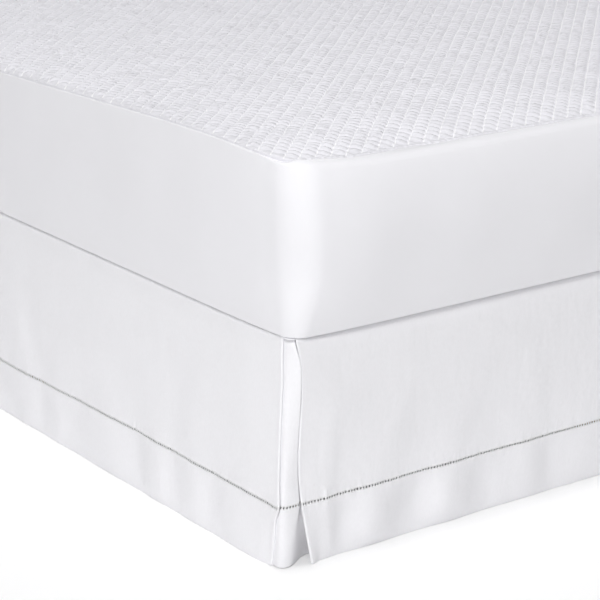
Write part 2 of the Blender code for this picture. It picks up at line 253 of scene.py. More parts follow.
class Look:
    """A procedural material, built up node by node."""

    def __init__(self, name, colour, roughness, **inputs):
        self.material = bpy.data.materials.new(name)
        self.material.use_nodes = True
        self.tree = self.material.node_tree
        self.shader = self.tree.nodes["Principled BSDF"]
        self.colour = (*colour, 1.0)
        inputs.update(Base_Color=self.colour, Roughness=roughness)
        self.put(self.shader, {key.replace("_", " "): value for key, value in inputs.items()})
        self.place = self.add("ShaderNodeTexCoord", "Object", {})
        self.bump = None

    def put(self, node, inputs):
        """Sets a node's inputs, each to a value or to another node's output."""
        for key, value in inputs.items():
            if isinstance(value, bpy.types.NodeSocket):
                self.tree.links.new(value, node.inputs[key])
            else:
                node.inputs[key].default_value = value

    def add(self, kind, output, inputs, **settings):
        """The output of a new node."""
        node = self.tree.nodes.new(kind)
        for key, value in settings.items():
            setattr(node, key, value)
        self.put(node, inputs)
        return node.outputs[output]

    def placed(self, stretch=EVEN, turn=0.0):
        """The place on the object, stretched and turned about Z."""
        inputs = {"Vector": self.place, "Scale": stretch, "Rotation": (0, 0, turn)}
        return self.add("ShaderNodeMapping", "Vector", inputs)

    def noise(self, scale, detail, *placing):
        inputs = {"Scale": scale, "Detail": detail, "Vector": self.placed(*placing)}
        return self.add("ShaderNodeTexNoise", "Fac", inputs)

    def product(self, first, second):
        return self.add("ShaderNodeMath", "Value", {0: first, 1: second}, operation="MULTIPLY")

    def ranged(self, value, low, high, to_low, to_high):
        inputs = {"Value": value, "From Min": low, "From Max": high, "To Min": to_low, "To Max": to_high}
        return self.add("ShaderNodeMapRange", "Result", inputs)

    def mix(self, blend, factor, other):
        """Mixes another colour with the one so far."""
        inputs = {"Factor": factor, "A": self.colour, "B": other}
        kind = "ShaderNodeMix"
        self.colour = self.add(kind, "Result", inputs, data_type="RGBA", blend_type=blend)
        self.put(self.shader, {"Base Color": self.colour})

    def shade(self, darkest, *noise):
        """Darkens the colour unevenly, down to a share of itself."""
        self.mix("MULTIPLY", 1.0, self.ranged(self.noise(*noise), *SHADE_RANGE, darkest, 1.0))

    def raised(self, height, value):
        """Adds relief: a bump of the given height in metres."""
        inputs = {"Distance": height, "Height": value}
        if self.bump is not None:
            inputs["Normal"] = self.bump
        self.bump = self.add("ShaderNodeBump", "Normal", inputs)
        self.put(self.shader, {"Normal": self.bump})

    def uneven(self, height, *noise):
        self.raised(height, self.noise(*noise))

    def woven(self, thread, height):
        """A plain weave on upright or flat cloth: threads of this width across one another."""
        waves = []
        for direction in ("DIAGONAL", "Z"):
            inputs = {"Scale": math.pi / 10 / thread, "Detail": 1.0, "Vector": self.placed()}
            waves.append(self.add("ShaderNodeTexWave", "Fac", inputs, bands_direction=direction))
        self.raised(height, self.product(*waves))


def sheen(weight, roughness, specular):
    return {"Sheen_Weight": weight, "Sheen_Roughness": roughness, "Specular_IOR_Level": specular}


def cotton_look():
    look = Look("skirt_cotton", (0.885, 0.88, 0.907), 0.78, **sheen(0.1, 0.45, 0.25))
    look.shade(0.985, 9.0, 3.0)
    look.shade(0.975, 420.0, 2.0, (1, 1, 0.35))
    look.uneven(0.0016, 26.0, 3.0, (1.0, 1.0, 0.6))
    look.uneven(0.00025, 95.0, 2.0)
    look.woven(0.00042, 0.00006)
    return look.material


def shaded_thread_look():
    """The drawn threadwork beside the holes, whipped over in upright stitches, in a darker white than the
    cotton: painted shade round the holes.
    """
    look = Look("hemstitch_thread_painted_shade", (0.78, 0.78, 0.79), 0.7, Specular_IOR_Level=0.25)
    look.uneven(0.0002, 1500.0, 1.0, (1, 1, 0.2))
    return look.material


def knit_look(name, colour):
    """A smooth fine knit."""
    look = Look(name, colour, 0.82, **sheen(0.15, 0.5, 0.2))
    look.shade(0.985, 7.0, 3.0)
    look.uneven(0.0012, 14.0, 2.0)
    look.uneven(0.0001, 900.0, 1.0, (1, 1, 0.5))
    return look


def shaded_ribbed_look():
    """The knit of the ribbed top, wrinkled in patches across its ribs, in a darker white than the walls'
    knit: painted shade on the top.
    """
    look = knit_look("mattress_rib_knit_painted_shade", (0.772, 0.765, 0.805))
    patches = look.ranged(look.noise(9.0, 1.0), 0.4, 0.58, 0.35, 1.0)
    wrinkles = look.noise(1.0, 2.0, (30.0, 180.0, 30.0), math.radians(-45))
    look.raised(0.0036, look.product(wrinkles, patches))
    return look.material


def highlit_rib_thread_look():
    """The smoother yarn of the ribs' stitched ridges, in a lighter white than the ribbed knit: painted
    highlight along the ridges.
    """
    look = knit_look("mattress_rib_thread_painted_highlight", (0.915, 0.91, 0.93))
    look.uneven(0.0003, 260.0, 1.0)
    return look.material


def base_look():
    look = Look("base_ticking", (0.6, 0.6, 0.58), 0.85, Specular_IOR_Level=0.2)
    look.shade(0.93, 11.0, 3.0)
    look.shade(0.86, 700.0, 2.0)
    look.uneven(0.0012, 30.0, 2.0)
    look.woven(0.0011, 0.00015)
    return look.material


def wood_look():
    look = Look("leg_beech", (0.46, 0.29, 0.15), 0.42, Coat_Weight=0.15, Coat_Roughness=0.3)
    grain = look.noise(1.0, 5.0, (95.0, 95.0, 7.0))
    look.mix("MIX", look.ranged(grain, 0.42, 0.68, 0.0, 1.0), (0.3, 0.17, 0.08, 1.0))
    look.shade(0.85, 1.0, 2.0, (420.0, 420.0, 30.0))
    look.raised(0.0003, grain)
    return look.material


# --- the skirt's sheets

Column = namedtuple("Column", "place coarse bar waist arch")
Row = namedtuple("Row", "z depth fine")
End = namedtuple("End", "edges radius back")
Panel = namedtuple("Panel", "name node side hang length first last folds puckers waves")


def cut_columns(total, fine_zones, hole_width):
    """A sheet's columns by their place across the cloth, in bars and holes of the hemstitch.

    A coarse column goes all the way down: every second bar's, and all of them in the fine zones. The
    cell after a column is a bar's or a hole's.
    """
    bar_width = PITCH - hole_width
    count = round((total - bar_width) / PITCH)
    pitch = (total - bar_width) / count
    bar_width = pitch - hole_width
    columns = []
    for number in range(count + 1):
        start = number * pitch
        fine = any(low <= start <= high for low, high in fine_zones)
        bar_steps, hole_steps = FINE_STEPS if fine else COARSE_STEPS
        for step in range(bar_steps):
            waist = BAR_WAIST if step == 0 and number > 0 else 0.0
            coarse = fine or (step == 0 and number % 2 == 0)
            columns.append(Column(start + bar_width * step / bar_steps, coarse, True, waist, 0.0))
        for step in range(hole_steps if number < count else 0):
            share = step / hole_steps
            place = start + bar_width + hole_width * share
            arch = HOLE_ARCH * math.sin(math.pi * share)
            columns.append(Column(place, fine, False, 0.0 if step else -BAR_WAIST, arch))
    columns.append(Column(total, True, True, 0.0, 0.0))
    return columns


def evenly(start, end, step):
    return np.linspace(start, end, max(2, round(abs(end - start) / step) + 1))


def cut_rows(step_down):
    """A sheet's rows from its top edge down its face, round the hem's fold and up inside."""
    near, inside = HEMSTITCH_ROWS[0], 2 * HEM_FOLD_R - HEM_PROUD
    rows = [Row(z, 0.0, False) for z in evenly(DROP, HEMSTITCH + near, step_down)[:-1]]
    rows += [Row(HEMSTITCH + rise, 0.0, True) for rise in HEMSTITCH_ROWS + (0.0,)]
    for fall in HEMSTITCH_ROWS[::-1]:
        rows.append(Row(HEMSTITCH - fall, 0.0 if fall == HOLE_HALF_HEIGHT else -HEM_PROUD, True))
    rows += [Row(z, -HEM_PROUD, False) for z in evenly(HEMSTITCH - near, HEM_FOLD_R, step_down)[1:]]
    for step in range(1, HEM_FOLD_STEPS + 1):
        angle = math.pi * step / HEM_FOLD_STEPS
        depth = HEM_FOLD_R * (1 - math.cos(angle)) - HEM_PROUD
        rows.append(Row(HEM_FOLD_R * (1 - math.sin(angle)), depth, False))
    upwards = evenly(HEM_FOLD_R, HEMSTITCH - HEM_INSIDE_BELOW, step_down)[1:]
    return rows + [Row(z, inside, False) for z in upwards]


def hung_sheet(name, node, columns, rows, surface, looks, flip):
    """A sheet through surface(places, arches, row), with its hemstitch's holes cut."""
    places, waists, arches = (
        np.array([getattr(column, key) for column in columns]) for key in ("place", "waist", "arch")
    )
    coarse = [i for i, column in enumerate(columns) if column.coarse]
    count = len(columns)
    points = []
    for row in rows:
        side = np.sign(row.z - HEMSTITCH) if abs(row.z - HEMSTITCH) <= HOLE_HALF_HEIGHT else 0.0
        points.append(surface(places + waists * (row.z == HEMSTITCH), arches * side, row))
    faces, face_looks = [], []
    for number, (upper, lower) in enumerate(zip(rows, rows[1:])):
        top, bottom = number * count, (number + 1) * count
        reach = max(abs(upper.z - HEMSTITCH), abs(lower.z - HEMSTITCH))
        if upper.fine and lower.fine:
            for i in range(count - 1):
                if columns[i].bar or reach > HOLE_HALF_HEIGHT:
                    faces.append((top + i, bottom + i, bottom + i + 1, top + i + 1))
                    # Faces within WHIPPED of the hemstitch take the darker thread look: real thread, with
                    # painted shade round the holes.
                    face_looks.append(int(reach <= WHIPPED + ROUNDING))
            continue
        for left, right in zip(coarse, coarse[1:]):
            line = {True: range(left, right + 1), False: (left, right)}
            face = [bottom + i for i in line[lower.fine]] + [top + i for i in reversed(line[upper.fine])]
            faces.append(face)
            face_looks.append(0)
    made = make_object(name, np.concatenate(points), faces, looks, face_looks, flip)
    thicken(made, CLOTH)
    on_bed(made, "skirt_cotton", node)


def fold_depth(fold, z):
    """How far a fold stands out at height z."""
    if z > HEMSTITCH:
        held = 1 - (1 - HEMSTITCH_FOLD) * math.exp(-(z - HEMSTITCH) / HEMSTITCH_HOLD)
        return fold.body * MM * held * (1 - ramp(z, HEMSTITCH, fold.top))
    rise = z / HEMSTITCH
    in_hem = HEM_EDGE_FOLD * (1 - rise) + HEM_MIDDLE_FOLD * 4 * rise * (1 - rise)
    return MM * (fold.body * HEMSTITCH_FOLD * rise + fold.hem * in_hem)


def fold_place(fold, z):
    """Where a fold's line is along the panel at height z."""
    return fold.at + fold.lean * min(max((z - HEMSTITCH) / (fold.top - HEMSTITCH), 0.0), 1.0)


def further_folds(folds, end, rng):
    """The folds of the table, and drawn ones after them as far as the panel's end."""
    all_folds = list(folds)
    while True:
        last = all_folds[-1]
        at = last.at + max(last.lean, 0.0) / 2 + rng.uniform(*FOLD_SPACING)
        if at > end - FOLD_SPACING[0]:
            return all_folds
        side = -math.copysign(1.0, last.body)
        depth = side * rng.uniform(*FOLD_DEPTH)
        lean = rng.uniform(-FOLD_LEAN, FOLD_LEAN)
        top, in_hem = rng.uniform(*FOLD_TOP), side * rng.uniform(*FOLD_DEPTH)
        all_folds.append(type(last)(at, lean, top, depth, in_hem))


def mirrored_folds(folds, length):
    """The same folds counted from the panel's other end."""
    return [fold._replace(at=length - fold.at, lean=-fold.lean) for fold in reversed(folds)]


def drawn_puckers(rng, length):
    """Short puckers across the hemstitch: place, depth, half width, reach up and down, slant."""
    puckers = []
    at = rng.uniform(*FIRST_PUCKER)
    while at < length:
        depth = rng.choice((-1, 1)) * rng.uniform(*HEM_PUCKER_DEPTH) * MM
        width = rng.uniform(*HEM_PUCKER_WIDTH) * MM
        up, down = rng.uniform(*HEM_PUCKER_UP) * MM, rng.uniform(*HEM_PUCKER_DOWN) * MM
        puckers.append((at, depth, width, up, down, rng.uniform(*HEM_PUCKER_SLANT)))
        at += rng.uniform(*HEM_PUCKER_PITCH)
    return np.array(puckers).T


def drawn_waves(rng, depth):
    """Low uneven waves of the cloth: frequency along, frequency up, phase and depth."""
    waves = []
    for _ in range(WAVES):
        length = rng.uniform(*WAVE_LENGTH)
        up = rng.uniform(*WAVE_SLOPE) * math.tau / length
        waves.append((math.tau / length, up, rng.uniform(0, math.tau), depth * length))
    return waves


def wave_relief(waves, along, z):
    return sum(depth * np.sin(across * along + up * z + phase) for across, up, phase, depth in waves)


def pucker_relief(puckers, along, rise):
    at, depth, width, up, down, slant = puckers
    fade = np.exp(-abs(rise) / (up if rise > 0 else down))
    offset = along[:, None] - at - slant * rise
    return (depth * fade * np.exp(-(offset / width) ** 2)).sum(axis=1)


def face_out(panel, z, along):
    """How far out a panel's open face is at height z, at an array of places along it."""
    out = np.full(len(along), at_height(HANGS, panel.hang, z))
    turns = []
    for end, distance in ((panel.first, along), (panel.last, panel.length - along)):
        edge, lift, turn = (at_height(end.edges, column, z) for column in ("along", "lift", "turn"))
        out += lift * (1 - ramp(distance, edge, turn))
        turns.append(turn)
    places = [turns[0]] + [fold_place(fold, z) for fold in panel.folds] + [panel.length - turns[1]]
    places = np.maximum.accumulate(np.array(places))
    depths = np.array([0.0] + [fold_depth(fold, z) for fold in panel.folds] + [0.0])
    left = np.clip(np.searchsorted(places, along) - 1, 0, len(places) - 2)
    spans = np.maximum(places[left + 1] - places[left], MM)
    share = ramp((along - places[left]) / spans, 0.0, 1.0)
    out += depths[left] + (depths[left + 1] - depths[left]) * share
    out += pucker_relief(panel.puckers, along, z - HEMSTITCH)
    return out + ramp(DROP - z, 0.0, WAVES_FREE) * wave_relief(panel.waves, along, z)


def beside_bed(panel, along, out, z):
    """A panel's points; its hem comes down until its edge nearly touches the floor."""
    z = HEM_ABOVE_FLOOR + z - HEM_LOWERED * (1 - ramp(z, 0.0, HEMSTITCH))
    if panel.side:
        return np.column_stack((panel.side * (HALF_WIDTH + out), -HALF_LENGTH + along, z))
    return np.column_stack((-HALF_WIDTH + along, -HALF_LENGTH - out, z))


def build_panel(panel, looks):
    """A panel, with its places counted along the cloth at the hemstitch, from edge to edge."""
    first, last = panel.first, panel.last
    first_edge, last_edge = (at_height(end.edges, "along", HEMSTITCH) for end in (first, last))
    start = first.back + math.pi * first.radius
    stop = start + (panel.length - (first_edge + first.radius) - (last_edge + last.radius))
    total = stop + math.pi * last.radius + last.back

    def surface(places, arches, row):
        along = first_edge + first.radius + np.clip(places, start, stop) - start
        from_last = panel.length - along
        first_shift = at_height(first.edges, "along", row.z) - first_edge
        last_shift = at_height(last.edges, "along", row.z) - last_edge
        moved = first_shift * (1 - ramp(along - first_edge, 0.0, EDGE_REACH))
        along = along + (moved - last_shift * (1 - ramp(from_last - last_edge, 0.0, EDGE_REACH)))
        fall, across, outwards = 0.0, 0.0, 1.0
        for end, beyond, sign in ((first, start - places, 1.0), (last, places - stop, -1.0)):
            beyond = np.maximum(beyond, 0.0)
            angle = np.minimum(beyond / end.radius, math.pi)
            along = along + sign * np.maximum(beyond - math.pi * end.radius, 0.0)
            across = across - sign * np.sin(angle) * end.radius
            fall = fall + end.radius * (1 - np.cos(angle))
            outwards = outwards * np.cos(angle)
        out = face_out(panel, row.z, along) - fall
        normal_along = across / np.where(places < (start + stop) / 2, first.radius, last.radius)
        along = along + across - row.depth * normal_along
        z = row.z + arches
        if panel.side:
            share = ramp(along, DIP_START, DIP_FULL)
            z = z - HEMSTITCH_DIP * share * max(0.0, 1 - abs(row.z - HEMSTITCH) / DIP_REACH)
        return beside_bed(panel, along, out - row.depth * outwards, z + np.zeros(len(along)))

    zones = (
        (first.back - FINE_BEYOND_FOLD, start + FINE_FROM_EDGE),
        (stop - FINE_FROM_EDGE, total - last.back + FINE_BEYOND_FOLD),
    )
    columns = cut_columns(total, zones, HOLE_WIDTH)
    rows = cut_rows(BODY_STEP)
    hung_sheet(panel.name, panel.node, columns, rows, surface, looks, panel.side < 0)


def build_panels(looks):
    pleat_side = End(SIDE_EDGES, TURN_R, RETURN_LENGTH)
    pleat_foot = End(FOOT_EDGES, TURN_R, RETURN_LENGTH)
    head = End(HEAD_EDGES, SIDE_HEM_R, SIDE_HEM)
    far_end = mirrored_folds(FOOT_FOLDS[:2], 2 * HALF_WIDTH)
    sides = ("side", 2 * HALF_LENGTH, pleat_side, head)
    side_folds = (SIDE_FOLDS, 2 * HALF_LENGTH - HEAD_RECESS, [])
    foot = ("foot", 2 * HALF_WIDTH, pleat_foot, pleat_foot)
    for place, seed, side, form, (folds, folded_to, more_folds) in (
        ("left", 3, -1, sides, side_folds),
        ("right", 8, 1, sides, side_folds),
        ("foot", 5, 0, foot, (FOOT_FOLDS, far_end[0].at, far_end)),
    ):
        rng = random.Random(seed)
        folds = further_folds(folds, folded_to, rng) + more_folds
        drawn = drawn_puckers(rng, form[1]), drawn_waves(rng, PANEL_WAVE)
        build_panel(Panel("panel_" + place, "drop_" + place, side, *form, folds, *drawn), looks)


CATMULL_ROM = np.array(((0, 2, 0, 0), (-1, 0, 1, 0), (2, -5, 4, -1), (-1, 3, -3, 1))) / 2


def smooth_curve(points, steps):
    """Points along a Catmull-Rom curve through the given ones."""
    points = np.array(points)
    padded = np.vstack((2 * points[0] - points[1], points, 2 * points[-1] - points[-2]))
    powers = (np.arange(steps) / steps)[:, None] ** np.arange(len(CATMULL_ROM))
    pieces = [powers @ CATMULL_ROM @ padded[i:i + 4] for i in range(len(points) - 1)]
    return np.vstack((*pieces, points[-1]))


def underlay_curve(z):
    """The underlay's plan at height z, from behind the side panel to behind the foot panel."""
    row = UNDERLAYS[0]
    row = row._make(at_height(UNDERLAYS, name, z) for name in row._fields)
    tail = np.interp(z, (0, DROP), (UNDERLAY_TAIL_HEM, UNDERLAY_TAIL_TOP))
    side_face = at_height(HANGS, "side", z) + min(at_height(SIDE_EDGES, "lift", z), 0.0)
    behind_x = UNDERLAY_BEHIND - side_face
    behind_y = at_height(SIDE_EDGES, "along", z) + TURN_R
    return smooth_curve([
        (behind_x, behind_y + tail),
        (behind_x, behind_y + tail / 3),
        (row.shoulder_x, row.shoulder_y),
        (row.crest_x, row.crest_y),
        (row.inner_x, row.inner_y),
        (row.inner_x + tail, row.inner_y),
    ], UNDERLAY_CURVE_STEPS)


def run_along(line):
    """How far along a line each of its points lies."""
    return np.concatenate(([0.0], np.cumsum(np.linalg.norm(np.diff(line, axis=0), axis=1))))


def build_underlay(name, node, mirror, seed, looks):
    total = run_along(underlay_curve(HEMSTITCH))[-1]
    waves = drawn_waves(random.Random(seed), UNDERLAY_WAVE)

    def surface(places, arches, row):
        curve = underlay_curve(row.z)
        run = run_along(curve)
        wanted = np.clip(places / total, 0.0, 1.0) * run[-1]
        slope = np.gradient(curve, axis=0)
        slope = slope / np.linalg.norm(slope, axis=1)[:, None]
        x, y, tx, ty = (
            np.interp(wanted, run, line[:, axis]) for line in (curve, slope) for axis in (0, 1)
        )
        shift = wave_relief(waves, places, row.z) - row.depth
        x, y = x + ty * shift, y - tx * shift
        z = HEM_ABOVE_FLOOR + row.z + arches + np.zeros(len(places))
        return np.column_stack((mirror * (-HALF_WIDTH + x), -HALF_LENGTH + y, z))

    columns = cut_columns(total, [(0.0, total)], UNDERLAY_HOLE)
    hung_sheet(name, node, columns, cut_rows(UNDERLAY_STEP), surface, looks, mirror < 0)


# --- rings round the bed

RING_SIDE_X = 70
RING_SIDE_Y = 92
RING_CORNER = 12
EDGE_STEPS = 4


def ring(half_x, half_y, radius):
    """A rounded rectangle, anticlockwise from the foot's left end: its points and outward normals."""
    arcs = []
    for sx, sy, turn in ((1, -1, -90), (1, 1, 0), (-1, 1, 90), (-1, -1, 180)):
        angles = np.radians(turn + 90 * np.arange(RING_CORNER + 1) / RING_CORNER)
        normals = np.column_stack((np.cos(angles), np.sin(angles)))
        arcs.append((radius * normals + (sx * (half_x - radius), sy * (half_y - radius)), normals))
    points, normals = [], []
    for number, count in enumerate((RING_SIDE_X, RING_SIDE_Y, RING_SIDE_X, RING_SIDE_Y)):
        (before, _), (arc, turned) = arcs[number - 1], arcs[number]
        shares = np.arange(1, count)[:, None] / count
        points += [before[-1] + (arc[0] - before[-1]) * shares, arc]
        normals += [np.repeat(turned[:1], count - 1, axis=0), turned]
    return np.concatenate(points), np.concatenate(normals)


def ring_faces(low, high):
    """Quads between two closed lines of points."""
    return list(zip(low, np.roll(low, -1), np.roll(high, -1), high))


def between_rings(rows, count):
    """Quads between rings of count points, each above the one before."""
    numbers = np.arange(rows * count).reshape(rows, count)
    return [face for low, high in zip(numbers, numbers[1:]) for face in ring_faces(low, high)]


def stacked(rings, closed_below=True):
    """The points and faces of a body through level rings, closed at its top."""
    count = len(rings[0])
    faces = between_rings(len(rings), count)
    if closed_below:
        faces.append(tuple(range(count))[::-1])
    last = (len(rings) - 1) * count
    faces.append(tuple(range(last, last + count)))
    return np.concatenate(rings), faces


def level(points, z):
    return np.column_stack((points, np.full(len(points), z)))


def rounded_edge(radius):
    """The inset and the rise of an edge's rows, from the flat face to the upright one."""
    angles = [math.pi / 2 * step / EDGE_STEPS for step in range(EDGE_STEPS + 1)]
    return [(radius * (1 - math.sin(angle)), radius * (1 - math.cos(angle))) for angle in angles]


def drawn_wall_waves(seed, count, lengths, up, depth):
    """Soft unevenness of a wall: frequency across, frequency up, phase and depth."""
    rng = random.Random(seed)
    return [
        (math.tau / rng.uniform(*lengths), rng.uniform(-up, up), rng.uniform(0, math.tau), depth)
        for _ in range(count)
    ]


def wall_relief(points, z, waves):
    return wave_relief(waves, points[:, 0] - points[:, 1], z)


# --- the mattress

MATTRESS_EDGE_R = 0.0022
UNDERSIDE_INSET = 0.03
CORNER_R_LOW = 0.038
CORNER_R_HIGH = 0.066
SEAM_Z = MATTRESS_BOTTOM + 0.2659
CAP_Z = MATTRESS_BOTTOM + 0.26  # of the hidden flat under the ribbed top
STRIP_BOTTOM = CAP_Z + 0.0005
LID_BOTTOM = MATTRESS_BOTTOM + 0.259
CROWN_RISE = 0.0182
CROWN_REACH = 0.06
LID_PUFF = 0.0006
LID_PUFF_REACH = 0.01
FOOT_BULGE = 0.019
SIDE_BULGE = 0.0015
BULGE_FULLNESS = 0.8  # a lower power keeps the bulge full nearer to the wall's top and bottom
CORNER_EASE_LOW = 0.0048  # how far the wall draws in towards a corner, at the bottom and above it
CORNER_EASE_HIGH = 0.008
CORNER_EASE_REACH = 0.06
CORNER_GROWTH = 2.4  # the corner has its full roundness at 1/2.4 of the wall's height
STRAIGHT = 0.999  # of a normal's part along X or Y, on a straight side
WALL_STEPS = 20
WALL_SHARES = [step / WALL_STEPS for step in range(1, WALL_STEPS)] + [0.99, 1.0]
WALL_WAVES = (21, 8, (0.12, 0.5), 14, 0.00035)  # seed, count, lengths, most upwards, depth
FULL_ROLL = 0.028  # seam inset at which the rolled rim has its whole profile
ROLL = (0.3, 0.8)  # shares of that inset between which the roll comes in
ROLL_FALL = 0.0075  # from the seam's level to the top of the wall, where the roll is whole
SIDE_FALL = 0.0052  # the same where there is no roll, and the ribbed top's side hangs over the edge
WALL_TOP_INSET = 0.0007
WALL_TOP_START = 0.85  # share of the wall's height where it starts to draw in to its top
LEDGE_RISE = 0.0002  # from the wall's top to the seam, where there is no roll
COVER_UNDER_STRIP = 0.003

# The seam round the ribbed top, by its place along each side: its inset from the mattress's face and
# its rise over SEAM_Z, in millimetres. Along the sides it runs at the wall's edge, and at the ends it
# runs behind a rolled rim.
SEAM_COLUMNS = "along inset rise"
LEFT_SEAM = table(
    SEAM_COLUMNS,
    (0.03, 12, 20), (0.05, 7, 24.5), (0.072, 1.3, 25.5), (0.096, 1.1, 25.5), (0.164, 1.1, 25.5),
    (0.229, 1.1, 25), (0.383, 1.3, 22.5), (0.551, 1.1, 17.5), (0.732, 1.1, 12), (0.925, 1.1, 7),
    (1.15, 1.1, 8), (1.38, 1.3, 10), (1.62, 1.1, 8), (1.83, 1.3, 10), (2, 10, 8),
)
RIGHT_SEAM = table(
    SEAM_COLUMNS,
    (0.03, 12, 13), (0.08, 5, 16), (0.3, 1.1, 14), (0.52, 1.3, 14), (0.76, 1.1, 9), (1.02, 1.1, 6),
    (1.3, 1.1, 9), (1.56, 1.3, 13), (1.8, 1.1, 11), (2, 10, 8),
)
FOOT_SEAM = table(
    SEAM_COLUMNS,
    (0.03, 28, 1.6), (0.067, 29, 0.6), (0.09, 23, 0), (0.131, 24, 0), (0.18, 27, 0), (0.251, 35, 0),
    (0.333, 29, 0), (0.438, 28, 0), (0.543, 25, 0), (0.654, 23, 0), (0.82, 28, 0), (1, 24, 0),
    (1.2, 31, 0), (1.38, 26, 0.5), (1.5, 30, 1.5),
)
HEAD_SEAM = table(
    SEAM_COLUMNS,
    (0.03, 30, 1.5), (0.25, 26, 0), (0.52, 34, 0), (0.8, 28, 0), (1.08, 33, 0), (1.32, 25, 0),
    (1.5, 30, 1.5),
)
SEAM_BLUR = np.linspace(-0.03, 0.03, 7)

# The rolled rim: a row's place from the face or from the seam, and its rise over the seam.
RIM_ROWS = table(
    "from_face from_seam rise",
    (0.005, None, -0.0025), (0.01, None, 0.0008), (0.016, None, 0.0022), (None, 0.012, 0.0024),
    (None, 0.006, 0.001), (None, 0.002, -0.003), (None, 0, -0.005),
)


def table_line(seam, column, along):
    """A smooth line through a column of a seam's table."""
    alongs = [row.along for row in seam]
    values = [getattr(row, column) * MM for row in seam]
    return np.mean([np.interp(along + shift, alongs, values) for shift in SEAM_BLUR], axis=0)


# The seams of opposite sides, after half the length that they run along.
SEAMS = ((HALF_LENGTH, LEFT_SEAM, RIGHT_SEAM), (HALF_WIDTH, FOOT_SEAM, HEAD_SEAM))


def seam_inset(points, normals):
    """The seam's inset from the mattress's face for ring points with these normals."""
    total = 0.0
    for axis, (half, *seams) in enumerate(SEAMS):
        insets = [table_line(seam, "inset", points[:, 1 - axis] + half) for seam in seams]
        total = total + np.where(normals[:, axis] < 0, *insets) * normals[:, axis] ** 2
    return total


def crown_height(x, y):
    """The ribbed top's height, without its ribs: it rises from the seam to a flat middle."""
    nearness, rises = [], []
    for at, half, across, (length, *seams) in ((x, HALF_WIDTH, y, SEAMS[0]), (y, HALF_LENGTH, x, SEAMS[1])):
        insets, (low_rise, high_rise) = (
            [table_line(seam, column, across + length) for seam in seams] for column in ("inset", "rise")
        )
        low, high = half + at - insets[0], half - at - insets[1]
        nearness.append(np.exp(-np.maximum(np.minimum(low, high), 0.0) / CROWN_REACH))
        rises.append(np.where(low < high, low_rise, high_rise))
    edge = (nearness[0] * rises[0] + nearness[1] * rises[1]) / (nearness[0] + nearness[1])
    return SEAM_Z + edge + (CROWN_RISE - edge) * (1 - nearness[0]) * (1 - nearness[1])


def mattress_ring(inset, radius, ease):
    """A ring round the mattress, drawn in towards its corners by the given ease."""
    half_x, half_y = HALF_WIDTH - inset, HALF_LENGTH - inset
    points, normals = ring(half_x, half_y, radius)
    from_arc = np.where(
        abs(normals[:, 0]) > STRAIGHT, half_y - radius - abs(points[:, 1]),
        np.where(abs(normals[:, 1]) > STRAIGHT, half_x - radius - abs(points[:, 0]), 0.0),
    )
    drawn = ease * np.exp(-np.maximum(from_arc, 0.0) / CORNER_EASE_REACH)
    return points - normals * drawn[:, None], normals


Edging = namedtuple("Edging", "outline normals scale rolled z")


def build_mattress(knit):
    """The mattress's cover: underside, walls and the rolled rim as far as the seam."""
    waves = drawn_wall_waves(*WALL_WAVES)
    low, _ = ring(HALF_WIDTH - UNDERSIDE_INSET, HALF_LENGTH - UNDERSIDE_INSET, CORNER_R_LOW)
    rings = [level(low, MATTRESS_BOTTOM)]
    for inset, rise in rounded_edge(MATTRESS_EDGE_R):
        edge, _ = mattress_ring(inset, CORNER_R_LOW, CORNER_EASE_LOW)
        rings.append(level(edge, MATTRESS_BOTTOM + rise))
    wall_bottom = MATTRESS_BOTTOM + MATTRESS_EDGE_R
    face, normals = mattress_ring(0.0, CORNER_R_HIGH, CORNER_EASE_HIGH)
    insets = seam_inset(face, normals)
    scale = np.minimum(1.0, insets / FULL_ROLL)
    rolled = ramp(scale, *ROLL)
    outline = face - normals * insets[:, None]
    seam_z = crown_height(outline[:, 0], outline[:, 1])
    wall_top = seam_z - ROLL_FALL * rolled - SIDE_FALL * (1 - rolled)
    for share in WALL_SHARES:
        z = wall_bottom + (wall_top - wall_bottom) * share
        grown = ramp(share * CORNER_GROWTH, 0.0, 1.0)
        radius = CORNER_R_LOW + (CORNER_R_HIGH - CORNER_R_LOW) * grown
        ease = CORNER_EASE_LOW + (CORNER_EASE_HIGH - CORNER_EASE_LOW) * grown
        inset = WALL_TOP_INSET * ramp(share, WALL_TOP_START, 1.0)
        wall, normals = mattress_ring(inset, radius, ease)
        upwards = math.sin(math.pi * share)
        bulge = (SIDE_BULGE * normals[:, 0] ** 2 + FOOT_BULGE * normals[:, 1] ** 2)
        shift = bulge * upwards ** BULGE_FULLNESS + wall_relief(wall, z, waves) * upwards
        rings.append(level(wall + normals * shift[:, None], z))
    for number, row in enumerate(RIM_ROWS, 1):
        if row.from_seam is None:
            inset = row.from_face * scale
        else:
            inset = insets - row.from_seam * scale
        share = number / len(RIM_ROWS)
        ledge = WALL_TOP_INSET + (insets - WALL_TOP_INSET) * share
        inset = inset * rolled + ledge * (1 - rolled)
        rise = row.rise * rolled - (SIDE_FALL - LEDGE_RISE * share) * (1 - rolled)
        rings.append(level(face - normals * inset[:, None], seam_z + rise))
    rings.append(level(outline - normals * COVER_UNDER_STRIP, CAP_Z))
    made = make_object("mattress_cover", *stacked(rings), [knit])
    on_bed(made, "mattress_cover", "mattress")
    return Edging(outline, normals, scale, rolled, seam_z)


